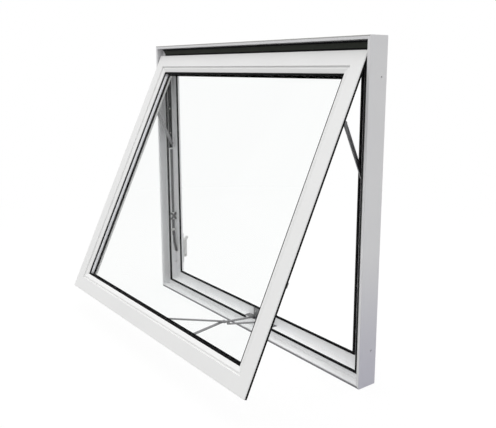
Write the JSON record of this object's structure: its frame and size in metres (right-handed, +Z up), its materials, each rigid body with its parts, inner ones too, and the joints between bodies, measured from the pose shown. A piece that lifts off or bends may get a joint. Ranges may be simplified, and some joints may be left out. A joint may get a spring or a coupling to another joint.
{
  "type": "top hung awning window",
  "caption": "White vinyl top hung awning window: mitred frame, double-glazed sash swung out on side stays, crossed operator arms and side locks.",
  "frame": {"origin": "middle of the sill's underside, at half the frame's depth", "axes": "+X to the right seen from outside, +Y into the building, +Z up"},
  "size_m": [1.055, 0.4806, 0.915],
  "materials": {
    "white_vinyl": "satin white vinyl",
    "black_rubber": "matt black seal",
    "glass": "clear float glass",
    "spacer_metal": "mill aluminium",
    "hardware_steel": "dull stainless",
    "white_hardware": "painted white"
  },
  "bodies": {
    "frame": {"frame_head": "white_vinyl", "frame_sill": "white_vinyl", "frame_jamb_left": "white_vinyl", "frame_jamb_right": "white_vinyl", "frame_outer_weatherstrip": "black_rubber", "frame_inner_weatherstrip": "black_rubber", "hinge_track_left": "hardware_steel", "hinge_track_right": "hardware_steel", "operator_base": "hardware_steel", "operator_back_plate": "hardware_steel", "operator_cover": "white_hardware", "crank_handle": "white_hardware", "lock_bar_left": "hardware_steel", "lock_bar_right": "hardware_steel", "lock_base_left": "white_hardware", "lock_base_right": "white_hardware"},
    "sash": {"sash_top_rail": "white_vinyl", "sash_bottom_rail": "white_vinyl", "sash_stile_left": "white_vinyl", "sash_stile_right": "white_vinyl", "glass_outer": "glass", "glass_inner": "glass", "glass_spacer": "spacer_metal", "glazing_gasket_outer": "black_rubber", "glazing_gasket_inner": "black_rubber", "glazing_bead_top": "white_vinyl", "glazing_bead_bottom": "white_vinyl", "glazing_bead_left": "white_vinyl", "glazing_bead_right": "white_vinyl", "sash_weatherstrip": "black_rubber", "hinge_plate_left": "hardware_steel", "hinge_plate_right": "hardware_steel", "keeper_left": "hardware_steel", "keeper_right": "hardware_steel", "operator_bracket_left": "hardware_steel", "operator_bracket_right": "hardware_steel"},
    "hinge_arm_left": {"hinge_arm_left": "hardware_steel"},
    "hinge_arm_right": {"hinge_arm_right": "hardware_steel"},
    "operator_arm_left": {"operator_arm_left": "hardware_steel"},
    "operator_arm_right": {"operator_arm_right": "hardware_steel"},
    "operator_link_left": {"operator_link_left": "hardware_steel"},
    "operator_link_right": {"operator_link_right": "hardware_steel"},
    "lock_handle_left": {"lock_handle_left": "white_hardware"},
    "lock_handle_right": {"lock_handle_right": "white_hardware"}
  },
  "joints": [
    {"name": "hinge_arm_left_turn", "type": "hinge", "parent": "frame", "child": "hinge_arm_left", "pos_m": [-0.484, 0.001, 0.5629], "axis": [1, 0, 0], "range_deg": [-25.2, 0]},
    {"name": "sash_swing", "type": "hinge", "parent": "hinge_arm_left", "child": "sash", "pos_m": [-0.484, -0.06559, 0.70442], "axis": [-1, 0, 0], "range_deg": [-50.4, 0]},
    {"name": "hinge_arm_right_turn", "type": "hinge", "parent": "frame", "child": "hinge_arm_right", "pos_m": [0.484, 0.001, 0.5629], "axis": [1, 0, 0], "range_deg": [-25.2, 0]},
    {"name": "operator_arm_left_turn", "type": "hinge", "parent": "frame", "child": "operator_arm_left", "pos_m": [0.026, 0.001, 0.039], "axis": [0, 0.1424, 0.9898], "range_deg": [-98.08, 0]},
    {"name": "operator_arm_right_turn", "type": "hinge", "parent": "frame", "child": "operator_arm_right", "pos_m": [0.082, 0.001, 0.039], "axis": [0, 0.1424, 0.9898], "range_deg": [0, 98.46]},
    {"name": "operator_link_left_turn", "type": "hinge", "parent": "sash", "child": "operator_link_left", "pos_m": [0.159, -0.37255, 0.09627], "axis": [0, 0.1424, 0.9898], "range_deg": [0, 64.92]},
    {"name": "operator_link_right_turn", "type": "hinge", "parent": "sash", "child": "operator_link_right", "pos_m": [-0.051, -0.36299, 0.09893], "axis": [0, 0.1424, 0.9898], "range_deg": [-64.54, 0]},
    {"name": "lock_handle_left_turn", "type": "hinge", "parent": "frame", "child": "lock_handle_left", "pos_m": [-0.4705, 0.0375, 0.128], "axis": [-1, 0, 0], "range_deg": [0, 110]},
    {"name": "lock_handle_right_turn", "type": "hinge", "parent": "frame", "child": "lock_handle_right", "pos_m": [0.4705, 0.0375, 0.128], "axis": [-1, 0, 0], "range_deg": [0, 110]}
  ],
  "couplings": [
    {"joint": "hinge_arm_left_turn", "follows": "sash_swing", "ratio": 0.5},
    {"joint": "hinge_arm_right_turn", "follows": "sash_swing", "ratio": 0.5},
    {"joint": "operator_arm_left_turn", "follows": "sash_swing", "ratio": 1.946},
    {"joint": "operator_arm_right_turn", "follows": "sash_swing", "ratio": -1.9535},
    {"joint": "operator_link_left_turn", "follows": "sash_swing", "ratio": -1.2882},
    {"joint": "operator_link_right_turn", "follows": "sash_swing", "ratio": 1.2806}
  ]
}
